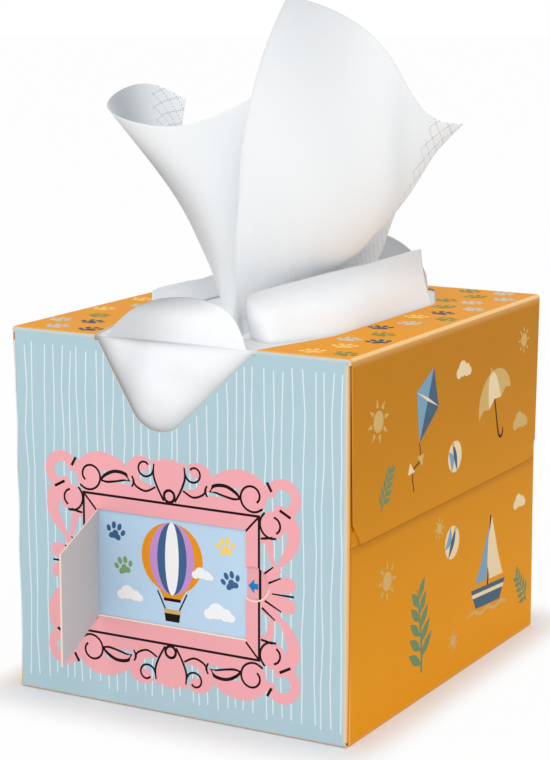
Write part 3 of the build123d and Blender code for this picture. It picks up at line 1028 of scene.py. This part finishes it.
tissue_rows = 100
tissue_columns = 300
rises = []
for station in tissue_stations:
    places = [in_box_frame(*place) for place in station]
    slit = places[0]
    foot = [(slit[0], slit[1], tissue_foot + (slit[2] - tissue_foot) * step / 8) for step in range(8)]
    rises.append(np.concatenate((foot, through(places, np.linspace(0, 1, tissue_rows)))))
across = np.linspace(0, 1, tissue_columns)
rows = np.array([through([rise[level] for rise in rises], across) for level in range(len(rises[0]))])

# Gathers at the slit that open out upwards, and a slow waver in the free paper
along = np.gradient(rows, axis=1)
upwards = np.gradient(rows, axis=0)
normal = np.cross(along, upwards)
normal /= np.linalg.norm(normal, axis=2)[:, :, None]
height = np.clip(rows[:, :, 2] - box_height, 0, None)
share = np.broadcast_to(across, height.shape)
wander = 0.35 * np.sin(9 * share + 0.05 * height) + 0.2 * np.sin(23 * share)
gather = 0.4 * np.exp(-height / 9) * np.sin(2 * math.pi * (24 * share + wander))
gather += 0.35 * np.exp(-height / 20) * np.sin(2 * math.pi * (9 * share + wander))
waver = 0.35 * np.sin(0.09 * height + 7 * share) * np.sin(11 * share + 0.03 * height)
waver *= np.minimum(height / 25, 1)
rows += normal * (gather + waver)[:, :, None]

# The sheet gets painted shade inside its curl, towards the top of its sail and in a soft patch beside the
# border
level = np.linspace(0, 1, len(rows))[:, None]
grey = 0.85 * np.exp(-((share - 0.12) / 0.065) ** 2) * np.minimum(level * 1.3, 1)
grey += 0.42 * np.exp(-((share - 0.67) / 0.1) ** 2) * level ** 3
grey += 0.16 * np.exp(-((share - 0.86) / 0.035) ** 2 - ((level - 0.78) / 0.2) ** 2)
tissue = make_sheet("drawn_tissue", np.dstack((rows, grey)).tolist())
flat_map = tissue.data.uv_layers.new(name="flat_sheet")
for loop in tissue.data.loops:
    row, column = divmod(loop.vertex_index, tissue_columns)
    place = (column / (tissue_columns - 1) * tissue_width, row / (len(rows) - 1) * tissue_height)
    flat_map.data[loop.index].uv = place
pick(tissue)
bpy.ops.object.shade_smooth()
thicken(tissue, ply, 0)

# Rows of fine pressed dots cross in diamonds along both side borders
soft, soft_shader, soft_place = start_material("tissue_paper", 0.88, 0.2)
for name, value in (("Weight", 0.4), ("Radius", (1, 1, 1)), ("Scale", 1.5 * mm)):
    soft_shader.inputs[f"Subsurface {name}"].default_value = value
u, v = split(soft, soft_place.outputs["UV"])[:2]
finish_as_tissue(soft, soft_shader, soft_place.outputs["Object"], shade(243, 248, 251))
rising = calc(soft, "DIVIDE", calc(soft, "ADD", u, v), diamond)
falling = calc(soft, "DIVIDE", calc(soft, "SUBTRACT", u, v), diamond)
dots = []
for lane, run in ((rising, falling), (falling, rising)):
    on_lane = calc(soft, "COMPARE", calc(soft, "FRACT", lane), 0.5, 0.055)
    beat = calc(soft, "FRACT", times(soft, run, 4))
    on_dot = calc(soft, "COMPARE", beat, 0.5, 0.19)
    dots.append(times(soft, on_lane, on_dot))
lower_down = calc(soft, "SUBTRACT", tissue_height, v)
right_border = calc(soft, "MULTIPLY_ADD", lower_down, 0.35, border)
from_right = calc(soft, "SUBTRACT", tissue_width, u)
at_right = calc(soft, "LESS_THAN", from_right, right_border)
at_left = calc(soft, "LESS_THAN", u, border)
in_border = calc(soft, "MAXIMUM", at_left, at_right)
pressed = times(soft, calc(soft, "MAXIMUM", *dots), in_border)
plain_colour = soft_shader.inputs["Base Color"].links[0].from_socket
# The grey attribute is painted shade and darkens the paper
shaded = wire(soft, "ShaderNodeAttribute", {}, attribute_name="grey").outputs["Fac"]
plain_colour = paint_over(soft, shaded, plain_colour, shade(140, 147, 154))
dotted = paint_over(soft, times(soft, pressed, 0.8), plain_colour, shade(150, 157, 166))
tooth = soft_shader.inputs["Normal"].links[0].from_socket
dent = {"Strength": 0.6, "Distance": 0.15 * mm, "Height": pressed, "Normal": tooth}
dent = wire(soft, "ShaderNodeBump", dent, invert=True)
plug(soft, dotted, soft_shader, "Base Color")
plug(soft, dent.outputs[0], soft_shader, "Normal")
dress(tissue, soft)
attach(tissue, "box")
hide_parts("pulled_tissue")

# Floor, light and camera
# A pale sheet runs under the box and a broad soft lamp stands above its front right. The camera is at the
# photograph's own angle.
pure_white = (1, 1, 1, 1)
shadow_reach = 0.029
camera_place = (0.348393, -0.632643, 0.235843)


def shown_rays(material):
    """1 for a ray that shows the surface itself, in a mirror or through a film too, else 0."""
    ray = wire(material, "ShaderNodeLightPath", {}).outputs
    shown = calc(material, "MAXIMUM", ray["Is Camera Ray"], ray["Is Glossy Ray"])
    return calc(material, "MAXIMUM", shown, ray["Is Transmission Ray"])


bpy.ops.mesh.primitive_circle_add(vertices=96, radius=6, fill_type="NGON")
floor = bpy.context.object
floor.name = "floor"
paper, paper_shader, paper_place = start_material("floor_paper", 0.9, 0.1)
paper_shader.inputs["Base Color"].default_value = (0.82, 0.82, 0.82, 1)
glow = wire(paper, "ShaderNodeEmission", {"Color": pure_white, "Strength": 1})
floor_x, floor_y = split(paper, paper_place.outputs["Object"])[:2]
squares = []
for place, half, weight in ((floor_x, half_width, 1.7), (floor_y, half_depth, 1)):
    beyond = calc(paper, "SUBTRACT", calc(paper, "ABSOLUTE", place), half * mm)
    beyond = calc(paper, "MAXIMUM", times(paper, beyond, weight), 0)
    squares.append(times(paper, beyond, beyond))
from_box = calc(paper, "SQRT", calc(paper, "ADD", *squares))
fade = soft_step(paper, from_box, 0, shadow_reach, 0.1, 0.96)
whiteness = times(paper, shown_rays(paper), fade)
lit = wire(paper, "ShaderNodeMixShader", {0: whiteness, 1: paper_shader.outputs[0], 2: glow.outputs[0]})
plug(paper, lit.outputs[0], paper.node_tree.nodes["Material Output"], "Surface")
dress(floor, paper)

world = bpy.data.worlds.new("studio")
bpy.context.scene.world = world
world.use_nodes = True
sky = world.node_tree.nodes["Background"]
sky.inputs["Color"].default_value = pure_white
plug(world, calc(world, "MULTIPLY_ADD", shown_rays(world), 0.22, 0.78), sky, "Strength")

bpy.ops.object.light_add(type="AREA", location=(0.7, -1.4, 1.4))
key = bpy.context.object
key.name = "key_lamp"
key.data.shape = "DISK"
key.data.size = 1.8
key.data.energy = 14
key.rotation_euler = (Vector((0, 0, 0.08)) - key.location).to_track_quat("-Z", "Y").to_euler()

right = (0.87308, 0.48757, 0)
up = (-0.09273, 0.16605, 0.98175)
back = (0.47867, -0.85715, 0.19019)
bpy.ops.object.camera_add()
camera = bpy.context.object
camera.data.lens = 103.695
camera.data.sensor_width = 36
aim = Matrix((right, up, back)).transposed().to_4x4()
camera.matrix_world = Matrix.Translation(camera_place) @ aim
bpy.context.scene.camera = camera
bpy.context.scene.view_settings.view_transform = "Standard"
